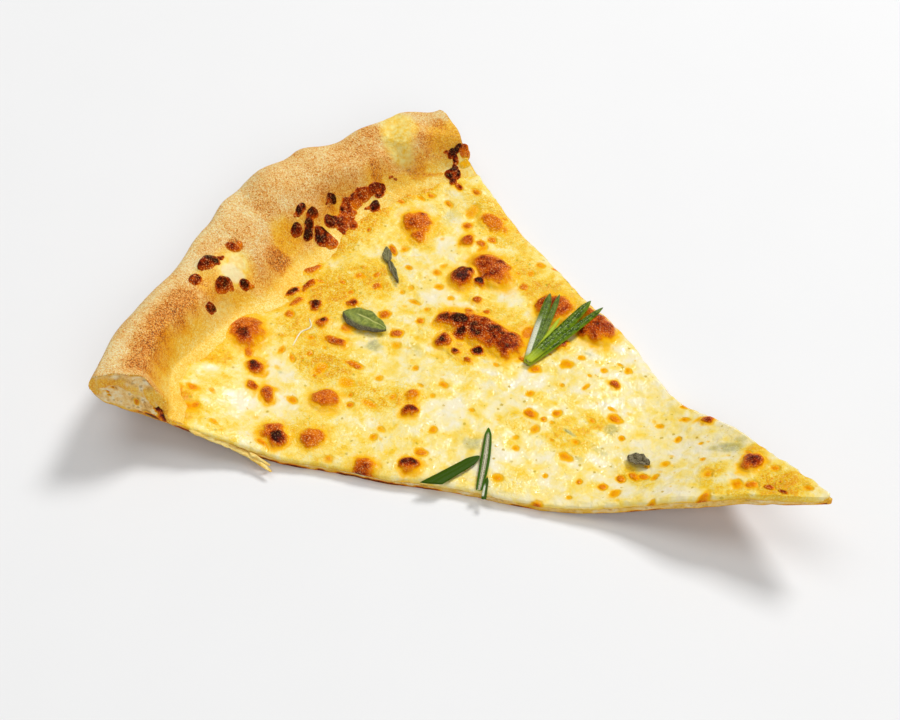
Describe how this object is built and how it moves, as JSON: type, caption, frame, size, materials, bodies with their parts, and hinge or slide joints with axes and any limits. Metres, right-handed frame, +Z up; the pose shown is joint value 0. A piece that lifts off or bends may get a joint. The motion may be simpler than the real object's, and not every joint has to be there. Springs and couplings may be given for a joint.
{
  "type": "cheese pizza slice",
  "caption": "Wedge of thin white cheese pizza with a puffed baked rim, browned cheese and herb leaves, set in the shallow dished shape of a plate.",
  "frame": {"origin": "centre of the bounding box's lowest face, on the surface that the slice lies on", "axes": "+X from the crust to the tip, +Z up out of the cheese, +Y to the left seen from the crust"},
  "size_m": [0.233, 0.1752, 0.0298],
  "materials": {
    "baked_dough": "dry matt baked dough, dusted with meal and browned in patches",
    "melted_cheese": "oily melted cheese with browned blisters",
    "rosemary": "waxy dark green leaf with a paler underside",
    "soft_herb": "matt grey-green leaf"
  },
  "bodies": {
    "root": {"crust": "baked_dough", "cheese": "melted_cheese", "rosemary_sprig": "rosemary", "rosemary_needle_dark": "rosemary", "rosemary_needle_pale": "rosemary", "oregano_leaf": "soft_herb", "thyme_sprig": "soft_herb", "thyme_leaf": "soft_herb"}
  },
  "joints": []
}
